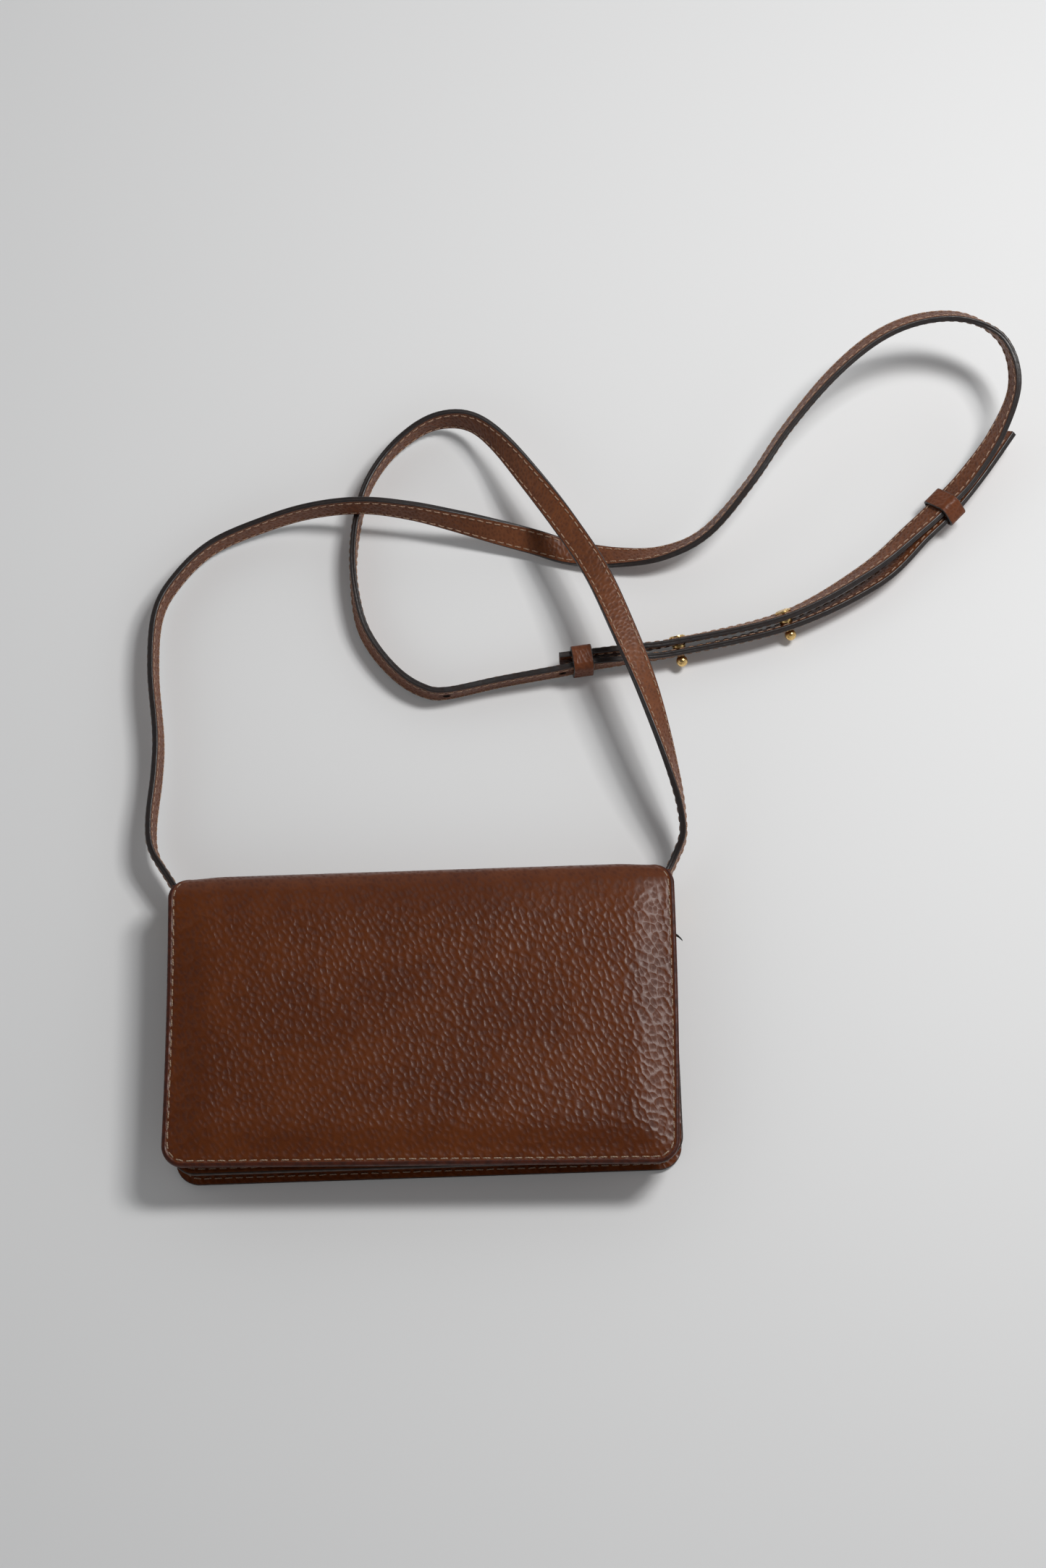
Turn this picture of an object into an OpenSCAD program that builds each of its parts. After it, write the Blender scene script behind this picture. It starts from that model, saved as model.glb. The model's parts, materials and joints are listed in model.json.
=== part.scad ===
// Slim leather crossbody purse lying on its back, with its two-piece strap laid out behind it.
// Millimetres. X runs across the bag, Y towards the fold at the top of the flap, Z up from the back panel.
// The origin is the middle of the back panel's outer face.

/* [Bag] */
// Width of the body
body_w = 189; // [185:0.5:192]
// Height of the body, from its bottom edge to the fold
body_l = 115; // [112:0.5:118]
// Radius of the body's two bottom corners
corner_r = 9; // [7:0.5:12]
// Thickness of the outer leather
leather_t = 1.3; // [1.1:0.1:1.3]
// Thickness of each lining
lining_t = 0.5; // [0.4:0.1:0.5]
// Depth of the body from the back face to the front face
body_d = 18.8; // [18.8:0.1:19]

/* [Flap] */
// Width of the flap at its widest
flap_w = 191; // [188:0.5:192]
// Thickness of the flap, with its lining
flap_t = 2.5; // [2.4:0.1:2.6]
// How far the flap hangs askew, in degrees
flap_turn = 1.4; // [0:0.1:1.6]
// Radius of the flap's two bottom corners
flap_r = 8.5; // [6:0.5:12]
// Gap between the body's front face and the flap's lining
flap_gap = 2.2; // [2.2:0.1:2.4]

/* [Gusset] */
// How far the side wall stands inside the panels' edges
web_inset = 4.6; // [4.4:0.1:4.8]
// Thickness of the side wall
web_t = 1.2; // [1:0.1:1.2]
// Thickness of the flanges sewn to the panels
flange_t = 0.9; // [0.7:0.1:0.9]

/* [Pockets] */
// Width of the flat pieces inside the body
inner_w = 176; // [172:1:176]
// Width of one card slot
slot_w = 86; // [82:1:86]
// Step between the top edges of two card slots
slot_step = 10; // [8:1:12]
// Height of the zip pocket's mouth above the bag's middle
zip_y = 33; // [28:1:34]
// Length of the zip's row of teeth
zip_len = 150; // [120:2:152]

/* [Strap] */
// Width of the strap
strap_w = 10; // [9:0.5:10]
// Thickness of the strap
strap_t = 2.4; // [2:0.1:2.4]
// Distance between the middles of the two strap layers where the studs join them
lap = 4.2; // [4.2:0.1:4.3]
// Radius of a ball stud's ball
ball_r = 2.25; // [1.8:0.05:2.3]

/* [Hidden] */
$fn = 48;

low = -body_l / 2;
high = body_l / 2;
board_t = 0.5;
slot_t = 0.6;
pocket_t = 0.5;
tape_t = 0.35;
// Levels of the layers above the back face
back_lining_z = leather_t + board_t;
slots_z = back_lining_z + lining_t;
pocket_rear_z = 8.6;
pocket_front_z = 11.4;
front_panel_z = body_d - leather_t;
front_board_z = front_panel_z - board_t;
front_lining_z = front_board_z - lining_t;
flap_z = body_d + flap_gap;
flap_leather_t = flap_t - lining_t - 0.6;
flap_leather_z = flap_z + flap_t - flap_leather_t;
// The flat pieces' inset from the body's bottom edge, and the spine's half width
inner_low = low + 6.5;
spine_half = 86;
// The zip: its teeth's lower level, the slider's place at rest, its plates' levels and its pull's pivot
teeth_z = 9.55;
slider_x = zip_len / 2 - 6;
slider_z = [8.5, 12];
slider_half = 4;
pull_y = zip_y + 5.7;
pull_z = [9.75, 10.75];
snap_at = [0, low + 28.5];
snap_r = 7.5;
snap_nub_r = 1.8;
// Rivets through the strap's ends, at this height along Y and Z
rivet_y = 44;
rivet_z = 9.5;
// Points of the long strap's route that carry a stud or a keeper,
// and points of the short strap's route with a free hole
stud_points = [36, 35];
keeper_points = [38, 32];
free_holes = [24, 26];
keeper_len = 8;
keeper_wall = 1.2;
// Routes of the straps: x, y, z and lean, where 0 stands on edge and 90 lies flat,
// its top towards the left of travel
long_route = [
  [-91.5, 37, 9.5, 0], [-91.5, 50, 9.5, 0], [-96.5, 60, 9.5, 2], [-102.5, 71, 9.5, 6],
  [-103.5, 83, 9, 9], [-101.5, 103, 8, 10], [-101, 119, 8, 10], [-103, 146, 8, 10],
  [-101.5, 169, 7.5, 8], [-94, 184, 7, 6], [-80, 198, 6.5, 4], [-59, 206.5, 8, 5],
  [-40, 210, 12, 6], [-20, 209.5, 16.5, 9], [-1, 207, 15.5, 15], [16, 203.5, 12.5, 27],
  [32, 200, 8.5, 46], [47, 196.5, 5, 68], [62, 192, 3, 88], [80, 189, 4, 115],
  [98, 189, 7, 134], [115, 195.5, 11, 148], [132.5, 213, 17, 158], [148, 233.5, 22.5, 156],
  [166.5, 253.5, 28, 148], [185, 268, 31, 141], [203, 275, 32, 139], [221, 275, 31.5, 145],
  [235.5, 266.5, 28, 170], [239.5, 250, 22.5, 195], [232, 232, 16, 216], [219.5, 215.5, 11.5, 230],
  [209, 205, 10, 232], [198, 195, 9.5, 230], [177, 178, 8.5, 219], [144, 160.5, 7.5, 208],
  [102, 151.5, 7, 200], [83, 149, 7, 192], [64, 146.5, 7.5, 184], [55.5, 145.5, 7.5, 182]];
short_route = [
  [91.5, 37, 9.5, 0], [91.5, 50, 9.5, 0], [96, 60, 10, 0], [100, 69, 12.5, 2],
  [100, 78, 16, 8], [98, 89, 20.5, 19], [93.5, 107, 25, 38], [87.5, 128, 27.5, 60],
  [80, 150, 28, 80], [71, 174, 26, 93], [59.5, 196, 23, 106], [47, 217, 19, 127],
  [34.5, 236, 14.5, 147], [24.5, 246, 11.5, 160], [14, 249, 9, 168], [3, 246, 7.5, 174],
  [-9, 236.5, 6, 178], [-18, 223, 5.5, 178], [-22.5, 207.5, 5.5, 177], [-24.5, 188, 5.5, 181],
  [-22.5, 167, 5.5, 190], [-17, 153.5, 5.5, 190], [-7.5, 141.5, 5.5, 186], [2, 135, 5.5, 182],
  [11, 133.5, 5.5, 178], [32, 137.5, 5.5, 175], [56.5, 141, 6.5, 176], [64.5, 142.5, 7, 176],
  [83.5, 145, 6, 168], [103, 147.5, 5.5, 160], [145.5, 157, 5.5, 152], [181, 174.5, 5.5, 141],
  [200, 193, 6.5, 130], [211, 203.5, 7, 128], [223, 217.5, 7.5, 130], [237, 235.5, 8, 140]];

function unit(v) = v / norm(v);
function arc(middle, r, from, to) = [for (i = [0:8]) let (a = from + (to - from) * i / 8)
  middle + r * [cos(a), sin(a)]];
// Outline with rounded bottom corners and eased top corners
function panel_points(w, bottom, top, r, ease = 2) = concat(
  arc([-w / 2 + r, bottom + r], r, 180, 270), arc([w / 2 - r, bottom + r], r, 270, 360),
  arc([w / 2 - ease, top - ease], ease, 0, 90), arc([-w / 2 + ease, top - ease], ease, 90, 180));
// The flap's outline: its top corners draw in towards the spine, and it hangs turned about the fold
function askew(p) = let (reach = (high - p[1]) / body_l, a = flap_turn * min(1, max(0, reach)))
  [p[0] * cos(a) - (high - p[1]) * sin(a), high - (high - p[1]) * cos(a) - p[0] * sin(a)];
function flap_points(inset) = [for (p = concat(
  arc([-flap_w / 2 + flap_r, low + flap_r], flap_r - inset, 180, 270),
  arc([flap_w / 2 - flap_r, low + flap_r], flap_r - inset, 270, 360),
  arc([spine_half, high - 12], flap_w / 2 - spine_half - inset, 0, 90),
  [[spine_half - 3, high - 2 - inset / 2], [-spine_half + 3, high - 2 - inset / 2]],
  arc([-spine_half, high - 12], flap_w / 2 - spine_half - inset, 90, 180))) askew(p)];

module sheet(points, z, t) {
  translate([0, 0, z]) linear_extrude(t) polygon(points);
}

module block(a, b) {
  translate(a) cube(b - a);
}

// ---- Back of the body ----
module back_panel() {
  color("#5a3421") sheet(panel_points(body_w, low, high - 0.7, corner_r), 0, leather_t);
}

module back_board() {
  color("#6b6257") sheet(panel_points(inner_w, inner_low, high - 3.5, 4), leather_t, board_t);
}

module back_lining() {
  color("#8b7355") sheet(panel_points(inner_w, inner_low, high - 3.5, 4), back_lining_z, lining_t);
}

// Three tiers of card slots in two columns; the rear tier stands tallest
module card_slot(column, tier) {
  x = (column - 0.5) * (slot_w + 2);
  color("#6a4029") translate([x, 0, 0])
    sheet(panel_points(slot_w, inner_low + 1, 30 - tier * slot_step, 2), slots_z + tier * slot_t, slot_t);
}

// ---- Side wall with its two sewn flanges ----
module body_ring(outer, inner, z, t) {
  translate([0, 0, z]) linear_extrude(t) difference() {
    polygon(panel_points(body_w - 2 * outer, low + outer, high - 2.5, corner_r - outer, 1));
    polygon(panel_points(body_w - 2 * inner, low + inner, high, corner_r - inner, 1));
  }
}

module gusset() {
  web_inner = web_inset + web_t;
  color("#54301e") difference() {
    union() {
      body_ring(0, web_inner, leather_t, flange_t);
      body_ring(web_inset, web_inner, leather_t, front_panel_z - leather_t);
      body_ring(0, web_inner, front_panel_z - flange_t, flange_t);
    }
    for (side = [-1, 1]) rivet_hole(side);
  }
}

// ---- Zip pocket in the middle of the body ----
module zip_pocket(z) {
  color("#8b7355") sheet(panel_points(inner_w + 0.6, inner_low + 1, zip_y, 4), z, pocket_t);
}

module zip_tape(z) {
  color("#3b2a20") block([-85, zip_y - 11, z], [85, zip_y + 2, z + tape_t]);
}

module zip_teeth() {
  pitch = 2;
  count = floor(zip_len / pitch);
  color("#c9a14a") for (i = [0:count - 1]) {
    x = -zip_len / 2 + i * pitch;
    z = teeth_z + (i % 2) * 0.5;
    block([x + 0.15, zip_y + 1, z], [x + pitch - 0.15, zip_y + 3, z + 0.9]);
  }
}

module zip_stops() {
  color("#c9a14a") for (side = [-1, 1]) {
    x = side * (zip_len / 2 + 2.5);
    block([x - 1, zip_y + 0.8, teeth_z], [x + 1, zip_y + 3.1, teeth_z + 1.4]);
  }
}

// Back bar, two side plates over the teeth, and two ears that hold the pull's pin
module zip_slider() {
  top = zip_y + 3.5;
  plate = 0.35;
  color("#d0a850") {
    block([slider_x - slider_half, top, slider_z[0]], [slider_x + slider_half, top + 0.9, slider_z[1]]);
    for (z = [slider_z[0], slider_z[1] - plate])
      block([slider_x - slider_half, zip_y + 0.6, z], [slider_x + slider_half, top + 0.1, z + plate]);
    for (z = [pull_z[0] - 0.65, pull_z[1] + 0.2])
      block([slider_x - 0.7, top + 0.8, z], [slider_x + 0.7, pull_y + 0.7, z + 0.45]);
    translate([slider_x, pull_y, pull_z[0] - 0.45]) cylinder(h = 1.9, r = 0.4, $fn = 24);
  }
}

// A flat tab that stands on edge, with an eye round the slider's pin and a small hole at its far end
module zip_pull() {
  tab_t = 0.7;
  reach = 13;
  color("#d0a850") difference() {
    union() {
      translate([slider_x, pull_y, pull_z[0]]) cylinder(h = 1, r = 0.95);
      block([slider_x - 3, pull_y - tab_t / 2, pull_z[0]], [slider_x, pull_y + tab_t / 2, pull_z[1]]);
      translate([slider_x, pull_y + tab_t / 2, 0]) rotate([90, 0, 0]) linear_extrude(tab_t)
        polygon([[-2, 9.75], [-4, 8.9], [2 - reach, 8.9], [-reach, 9.6],
          [-reach, 10.9], [2 - reach, 11.6], [-4, 11.6], [-2, 10.75]]);
    }
    translate([slider_x, pull_y, pull_z[0] - 1]) cylinder(h = 3, r = 0.5);
    translate([slider_x - reach + 3, pull_y + 1, 10.25]) rotate([90, 0, 0]) cylinder(h = 2, r = 0.8);
  }
}

// ---- Front of the body ----
module front_lining() {
  color("#8b7355") sheet(panel_points(inner_w, inner_low, high - 7.5, 4), front_lining_z, lining_t);
}

module front_board() {
  color("#6b6257") difference() {
    sheet(panel_points(inner_w, inner_low, high - 7.5, 4), front_board_z, board_t);
    translate([snap_at[0], snap_at[1], front_board_z - 1]) cylinder(h = 2, r = snap_r);
  }
}

module front_panel() {
  color("#5a3421") sheet(panel_points(body_w, low, high - 5.5, corner_r), front_panel_z, leather_t);
}

// ---- Magnetic snap: a holed disc on the body and a disc with a nub under the flap ----
module snap_socket() {
  color("#c9a14a") translate([snap_at[0], snap_at[1], body_d]) difference() {
    cylinder(h = 1, r = snap_r);
    translate([0, 0, -0.5]) cylinder(h = 2, r = snap_nub_r + 0.5);
    translate([0, 0, 0.75]) difference() {
      cylinder(h = 1, r = snap_r - 0.9);
      cylinder(h = 1, r = 3.2);
    }
  }
}

module snap_stud() {
  color("#c9a14a") translate([snap_at[0], snap_at[1], 0]) {
    translate([0, 0, flap_z - 0.8]) cylinder(h = 0.8, r = snap_r);
    translate([0, 0, flap_z - 1.8]) cylinder(h = 1.1, r = snap_nub_r);
  }
}

module washer(z) {
  color("#9c8a5a") translate([snap_at[0], snap_at[1], z]) difference() {
    cylinder(h = 0.4, r = 6);
    translate([0, 0, -0.5]) cylinder(h = 2, r = 1.6);
  }
}

// ---- Spine across the top, between the back and the flap ----
module spine_leather() {
  color("#5a3421") block([-spine_half, high - 1.3, 1.6], [spine_half, high, flap_z - 0.4]);
}

module spine_lining() {
  color("#8b7355") block([-spine_half, high - 1.8, 2], [spine_half, high - 1.3, flap_z - 0.6]);
}

// ---- Flap ----
module flap_lining() {
  color("#8b7355") sheet(flap_points(0), flap_z, lining_t);
}

module flap_board() {
  color("#6b6257") difference() {
    sheet(flap_points(5), flap_z + lining_t, 0.6);
    translate([snap_at[0], snap_at[1], flap_z]) cylinder(h = 2, r = snap_r);
  }
}

// The leather turns down over the board to meet the lining along its edge
module flap_leather() {
  color("#5a3421") difference() {
    sheet(flap_points(0), flap_z + lining_t, flap_t - lining_t);
    sheet(flap_points(4.9), flap_z + lining_t - 0.1, flap_leather_z - flap_z - lining_t + 0.1);
  }
}

// ---- Strap ----
function spline(route, i, u) = let (n = len(route) - 1,
  a = route[max(i - 1, 0)], b = route[i], c = route[min(i + 1, n)], d = route[min(i + 2, n)])
  0.5 * (2 * b + (c - a) * u + (2 * a - 5 * b + 4 * c - d) * u * u + (3 * b - a - 3 * c + d) * u * u * u);
function xyz(p) = [p[0], p[1], p[2]];
// Two rings to each step of the route
function stations(route) = [for (k = [0:2 * (len(route) - 1)])
  k == 2 * (len(route) - 1) ? route[len(route) - 1] : spline(route, floor(k / 2), k % 2 / 2)];
function heading(line, i) = unit(xyz(line[min(i + 1, len(line) - 1)]) - xyz(line[max(i - 1, 0)]));
function left_of(t) = unit([-t[1], t[0], 0]);
// The strap's own axes at a point: along it, out of its left face, and up its width
function face_axis(t, lean) = cos(lean) * left_of(t) - sin(lean) * cross(t, left_of(t));
function width_axis(t, lean) = sin(lean) * left_of(t) + cos(lean) * cross(t, left_of(t));

module swept_strap(route) {
  line = stations(route);
  b = strap_w / 2;
  h = strap_t / 2;
  e = 0.5;
  section = [[b, h - e], [b - e, h], [e - b, h], [-b, h - e],
    [-b, e - h], [e - b, -h], [b - e, -h], [b, e - h]];
  points = [for (i = [0:len(line) - 1], s = section) let (t = heading(line, i))
    xyz(line[i]) + s[0] * width_axis(t, line[i][3]) + s[1] * face_axis(t, line[i][3])];
  last = 8 * (len(line) - 1);
  polyhedron(points, concat([[for (k = [0:7]) k]], [[for (k = [7:-1:0]) last + k]],
    [for (i = [0:len(line) - 2], k = [0:7], f = [0, 1]) let (a = 8 * i + k, c = 8 * i + (k + 1) % 8)
      f == 0 ? [a, a + 8, c + 8] : [a, c + 8, c]]));
}

// Places its children on a route's point, with X along the strap, Y out of its left face and Z up its width
module on_strap(route, i) {
  t = heading(route, i);
  n = face_axis(t, route[i][3]);
  w = width_axis(t, route[i][3]);
  p = route[i];
  multmatrix([[t[0], n[0], w[0], p[0]], [t[1], n[1], w[1], p[1]], [t[2], n[2], w[2], p[2]], [0, 0, 0, 1]])
    children();
}

// A round piece whose axis lies along the strap's face axis, from y to y + h
module across(y, h, r) {
  translate([0, y + h, 0]) rotate([90, 0, 0]) cylinder(h = h, r = r, $fn = 32);
}

module rivet_hole(side) {
  translate([side * 95, rivet_y, rivet_z]) rotate([0, -90 * side, 0]) cylinder(h = 8, r = 1.5);
}

// The leather is pressed in a little under each screw's head and each stud's collar
module strap_long() {
  color("#6a4028") difference() {
    swept_strap(long_route);
    rivet_hole(-1);
    for (i = stud_points) on_strap(long_route, i) {
      across(-3, 6, 1.3);
      across(strap_t / 2 + 0.05, 2, 3.3);
    }
  }
}

module strap_short() {
  color("#6a4028") difference() {
    swept_strap(short_route);
    rivet_hole(1);
    for (i = stud_points) on_strap(long_route, i) {
      across(-lap - 3, 6, 1.6);
      across(strap_t / 2 - lap - 0.05, 2, 2.8);
    }
    for (i = free_holes) on_strap(short_route, i) across(-3, 6, 1.4);
  }
}

// One rivet through the strap's end and the side wall, with a cap at each end
module rivet(side) {
  color("#c9a14a") translate([0, rivet_y, rivet_z]) rotate([0, 90 * side, 0]) {
    translate([0, 0, 87.5]) cylinder(h = 1, r = 3.2);
    translate([0, 0, 88]) cylinder(h = 5.4, r = 1.4);
    translate([0, 0, 92.8]) cylinder(h = 0.7, r = 3.6);
    translate([0, 0, 93.4]) cylinder(h = 0.6, r = 2.6);
  }
}

// A leather loop round both layers, closed all round
module keeper(route_point) {
  face_gap = 0.6;
  y_low = -lap - strap_t / 2 - face_gap;
  y_high = strap_t / 2 + face_gap;
  half = strap_w / 2 + 0.75;
  color("#6e3f22") on_strap(long_route, route_point) translate([-keeper_len / 2, 0, 0]) rotate([90, 0, 90])
    linear_extrude(keeper_len) difference() {
      for (at_high = [false, true], side = [-1, 1]) keeper_corner(at_high, side, y_low, y_high, half);
      translate([y_low, -half]) square([y_high - y_low, 2 * half]);
    }
}

// A quarter of the keeper's outline: one rounded corner and the straight walls that meet it
module keeper_corner(at_high, side, y_low, y_high, half) {
  middle = (y_low + y_high) / 2;
  y = at_high ? y_high : y_low;
  translate([y, side * half]) circle(keeper_wall, $fn = 24);
  translate([min(y, middle), side > 0 ? half - 0.5 : -half - keeper_wall])
    square([abs(y - middle), keeper_wall + 0.5]);
  translate([at_high ? y - 0.5 : y - keeper_wall, side > 0 ? 0 : -half]) square([keeper_wall + 0.5, half]);
}

module keeper_fixed() {
  keeper(keeper_points[0]);
}

module keeper_sliding() {
  keeper(keeper_points[1]);
}

// Collar, neck and ball in one turned piece, drilled for its screw
module ball_stud(i) {
  color("#d9b45c") on_strap(long_route, i) difference() {
    union() {
      across(-strap_t / 2 - 1.7, 1.6, 2.6);
      across(-lap - strap_t / 2 - 1.4, 4.4, 1.4);
      translate([0, -lap - strap_t / 2 - 0.3 - ball_r, 0]) sphere(ball_r);
    }
    across(-4.6, 4.6, 1.05);
  }
}

module stud_screw(i) {
  head = strap_t / 2 + 0.1;
  color("#d9b45c") on_strap(long_route, i) difference() {
    union() {
      across(-4.3, head + 4.5, 1);
      across(head, 0.6, 3.2);
      across(head + 0.5, 0.4, 2.7);
    }
    translate([-4, head + 0.5, -0.3]) cube([8, 1, 0.6]);
  }
}

back_panel();
back_board();
back_lining();
card_slot(0, 0);  // card_slot_1
card_slot(0, 1);  // card_slot_2
card_slot(0, 2);  // card_slot_3
card_slot(1, 0);  // card_slot_4
card_slot(1, 1);  // card_slot_5
card_slot(1, 2);  // card_slot_6
gusset();
zip_pocket(pocket_rear_z);  // zip_pocket_rear
zip_pocket(pocket_front_z);  // zip_pocket_front
zip_tape(pocket_rear_z + pocket_t + 0.05);  // zip_tape_rear
zip_tape(pocket_front_z - tape_t - 0.05);  // zip_tape_front
zip_teeth();
zip_stops();
zip_slider();
zip_pull();
front_lining();
front_board();
front_panel();
snap_socket();
washer(front_board_z + 0.05);  // snap_socket_washer
spine_leather();
spine_lining();
flap_lining();
flap_board();
flap_leather();
snap_stud();
washer(flap_z + lining_t + 0.1);  // snap_stud_washer
strap_long();
strap_short();
rivet(-1);  // rivet_left
rivet(1);  // rivet_right
keeper_fixed();
keeper_sliding();
ball_stud(stud_points[0]);  // ball_stud_1
ball_stud(stud_points[1]);  // ball_stud_2
stud_screw(stud_points[0]);  // stud_screw_1
stud_screw(stud_points[1]);  // stud_screw_2
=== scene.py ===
import json
import math
import random
from bisect import bisect_left

import bmesh
import bpy
from mathutils import Matrix, Vector

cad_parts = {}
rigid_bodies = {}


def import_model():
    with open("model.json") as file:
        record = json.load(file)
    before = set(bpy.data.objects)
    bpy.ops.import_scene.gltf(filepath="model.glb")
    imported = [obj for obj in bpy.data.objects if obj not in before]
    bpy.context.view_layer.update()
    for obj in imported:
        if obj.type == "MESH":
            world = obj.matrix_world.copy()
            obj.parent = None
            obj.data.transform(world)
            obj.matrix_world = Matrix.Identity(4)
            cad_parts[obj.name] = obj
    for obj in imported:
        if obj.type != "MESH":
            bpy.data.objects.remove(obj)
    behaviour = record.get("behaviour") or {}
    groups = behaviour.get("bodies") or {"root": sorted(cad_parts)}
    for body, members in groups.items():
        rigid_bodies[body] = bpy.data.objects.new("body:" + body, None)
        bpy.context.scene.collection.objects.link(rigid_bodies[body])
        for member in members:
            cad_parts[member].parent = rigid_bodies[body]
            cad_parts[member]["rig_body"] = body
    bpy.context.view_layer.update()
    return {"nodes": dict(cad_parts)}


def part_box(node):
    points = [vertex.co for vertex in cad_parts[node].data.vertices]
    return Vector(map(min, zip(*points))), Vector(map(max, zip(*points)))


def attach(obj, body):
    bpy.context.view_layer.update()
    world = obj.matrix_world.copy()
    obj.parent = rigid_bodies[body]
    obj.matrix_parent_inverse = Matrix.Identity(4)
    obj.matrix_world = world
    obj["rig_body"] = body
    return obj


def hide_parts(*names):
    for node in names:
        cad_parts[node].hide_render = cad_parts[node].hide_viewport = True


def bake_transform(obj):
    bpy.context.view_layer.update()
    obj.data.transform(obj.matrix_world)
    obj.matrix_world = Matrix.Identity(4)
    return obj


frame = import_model()


# ---- Camera ----
# The bag is looked at from above, 19 degrees off straight down towards its bottom edge,
# with a long lens and turned by a little under two degrees.
AIM = Vector((0.0397, 0.0970, 0))
DISTANCE = 1.3636
PITCH = math.radians(19)
ROLL = math.radians(-1.89)

away = Vector((0, -math.sin(PITCH), math.cos(PITCH)))
level = Vector((1, 0, 0))
rise = away.cross(level)
right = math.cos(ROLL) * level + math.sin(ROLL) * rise
up = math.cos(ROLL) * rise - math.sin(ROLL) * level
camera_data = bpy.data.cameras.new("camera")
camera_data.lens = 50
camera_data.sensor_width = 22.3
camera = bpy.data.objects.new("camera", camera_data)
camera.matrix_world = Matrix((right, up, away)).transposed().to_4x4()
camera.matrix_world.translation = AIM + DISTANCE * away
bpy.context.scene.collection.objects.link(camera)
bpy.context.scene.camera = camera


# ---- Strap ----
# The strap is two lengths of leather, each of two layers glued back to back, sewn along both edges and
# painted dark along the cut. The long one leaves the left corner, the short one the right corner; they
# lap each other along the adjusting stretch, where two ball studs join them.
LONG_ROUTE = [
    (-0.0915, 0.037, 0.0095, 0), (-0.0915, 0.05, 0.0095, 0), (-0.0965, 0.06, 0.0095, 2),
    (-0.1025, 0.071, 0.0095, 6), (-0.1035, 0.083, 0.009, 9), (-0.1015, 0.103, 0.008, 10),
    (-0.101, 0.119, 0.008, 10), (-0.103, 0.146, 0.008, 10), (-0.1015, 0.169, 0.0075, 8),
    (-0.094, 0.184, 0.007, 6), (-0.08, 0.198, 0.0065, 4), (-0.059, 0.2065, 0.008, 5),
    (-0.04, 0.21, 0.012, 6), (-0.02, 0.2095, 0.0165, 9), (-0.001, 0.207, 0.0155, 15),
    (0.016, 0.2035, 0.0125, 27), (0.032, 0.2, 0.0085, 46), (0.047, 0.1965, 0.005, 68),
    (0.062, 0.192, 0.003, 88), (0.08, 0.189, 0.004, 115), (0.098, 0.189, 0.007, 134),
    (0.115, 0.1955, 0.011, 148), (0.1325, 0.213, 0.017, 158), (0.148, 0.2335, 0.0225, 156),
    (0.1665, 0.2535, 0.028, 148), (0.185, 0.268, 0.031, 141), (0.203, 0.275, 0.032, 139),
    (0.221, 0.275, 0.0315, 145), (0.2355, 0.2665, 0.028, 170), (0.2395, 0.25, 0.0225, 195),
    (0.232, 0.232, 0.016, 216), (0.2195, 0.2155, 0.0115, 230), (0.209, 0.205, 0.01, 232),
    (0.198, 0.195, 0.0095, 230), (0.177, 0.178, 0.0085, 219), (0.144, 0.1605, 0.0075, 208),
    (0.102, 0.1515, 0.007, 200), (0.083, 0.149, 0.007, 192), (0.064, 0.1465, 0.0075, 184),
    (0.0555, 0.1455, 0.0075, 182),
]
SHORT_ROUTE = [
    (0.0915, 0.037, 0.0095, 0), (0.0915, 0.05, 0.0095, 0), (0.096, 0.06, 0.01, 0),
    (0.1, 0.069, 0.0125, 2), (0.1, 0.078, 0.016, 8), (0.098, 0.089, 0.0205, 19),
    (0.0935, 0.107, 0.025, 38), (0.0875, 0.128, 0.0275, 60), (0.08, 0.15, 0.028, 80),
    (0.071, 0.174, 0.026, 93), (0.0595, 0.196, 0.023, 106), (0.047, 0.217, 0.019, 127),
    (0.0345, 0.236, 0.0145, 147), (0.0245, 0.246, 0.0115, 160), (0.014, 0.249, 0.009, 168),
    (0.003, 0.246, 0.0075, 174), (-0.009, 0.2365, 0.006, 178), (-0.018, 0.223, 0.0055, 178),
    (-0.0225, 0.2075, 0.0055, 177), (-0.0245, 0.188, 0.0055, 181), (-0.0225, 0.167, 0.0055, 190),
    (-0.017, 0.1535, 0.0055, 190), (-0.0075, 0.1415, 0.0055, 186), (0.002, 0.135, 0.0055, 182),
    (0.011, 0.1335, 0.0055, 178), (0.032, 0.1375, 0.0055, 175), (0.0565, 0.141, 0.0065, 176),
    (0.0645, 0.1425, 0.007, 176), (0.0835, 0.145, 0.006, 168), (0.103, 0.1475, 0.0055, 160),
    (0.1455, 0.157, 0.0055, 152), (0.181, 0.1745, 0.0055, 141), (0.2, 0.193, 0.0065, 130),
    (0.211, 0.2035, 0.007, 128), (0.223, 0.2175, 0.0075, 130), (0.237, 0.2355, 0.008, 140),
]
RING_STEP = 0.0022
STRAP_HALF = 0.005
STRAP_THICK = 0.0024
# A quarter of the strap's section, from the glue line in its edge to the middle of its face
STRAP_QUARTER = [
    (0.00487, 0), (0.00498, 0.0003), (0.00498, 0.0007), (0.00487, 0.00098), (0.00458, 0.00114),
    (0.0041, 0.00119), (0.0035, 0.00108), (0.0029, 0.00119), (0.0015, 0.0012), (0, 0.0012),
]
PAINT_FROM = 0.00445
STRAP_SEAM = 0.0035
STRAP_PITCH = 0.0035
# The grain on the back face is read this far off, so that the two faces differ
BACK_GRAIN = 0.02
SHARP = math.radians(48)


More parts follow.
